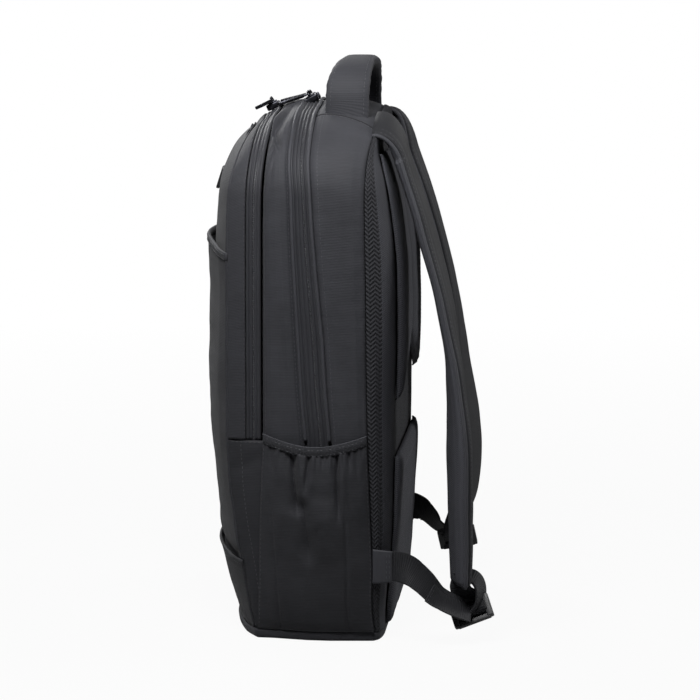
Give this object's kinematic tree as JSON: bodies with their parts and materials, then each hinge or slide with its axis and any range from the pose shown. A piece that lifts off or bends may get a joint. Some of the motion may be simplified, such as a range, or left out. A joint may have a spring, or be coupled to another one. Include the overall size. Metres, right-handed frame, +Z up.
{
  "type": "laptop backpack",
  "caption": "Slim upright laptop backpack with two zipped compartments, a wide front pocket, gathered side pockets, a grab handle, a padded mesh back and padded shoulder straps.",
  "frame": {"origin": "centre of the base, on the floor", "axes": "+Z up the bag, -Y towards its front, +Y towards its harness, +X towards the side that the picture shows"},
  "size_m": [0.3148, 0.2553, 0.4825],
  "materials": {
    "cloth": "charcoal woven polyester with a fine horizontal rib",
    "mesh": "black spacer mesh over foam",
    "tape": "black woven zip tape",
    "webbing": "black ribbed webbing",
    "coil": "black nylon coil",
    "plastic": "black moulded plastic, fine grain",
    "metal": "dark gunmetal coating"
  },
  "bodies": {
    "root": {"front_panel": "cloth", "front_overlay": "cloth", "front_pocket": "cloth", "front_pocket_hem": "cloth", "front_tab": "plastic", "front_gusset": "cloth", "front_zip_band": "tape", "front_zip_coil": "coil", "middle_gusset": "cloth", "main_zip_band": "tape", "main_zip_coil": "coil", "main_piping_front": "cloth", "main_piping_rear": "cloth", "rear_gusset": "cloth", "base_panel": "cloth", "back_panel": "mesh", "lumbar_pad": "mesh", "handle": "cloth", "lower_side_right": "cloth", "side_pocket_right": "cloth", "pocket_binding_right": "cloth", "back_pad_right": "mesh", "strap_right": "mesh", "strap_stub_right": "webbing", "ladder_lock_right": "plastic", "wing_right": "cloth", "webbing_right": "webbing", "webbing_tail_right": "webbing", "lower_side_left": "cloth", "side_pocket_left": "cloth", "pocket_binding_left": "cloth", "back_pad_left": "mesh", "strap_left": "mesh", "strap_stub_left": "webbing", "ladder_lock_left": "plastic", "wing_left": "cloth", "webbing_left": "webbing", "webbing_tail_left": "webbing", "slider_front": "metal", "pull_front": "metal", "slider_main_right": "metal", "pull_main_right": "metal", "slider_main_left": "metal", "pull_main_left": "metal"}
  },
  "joints": []
}
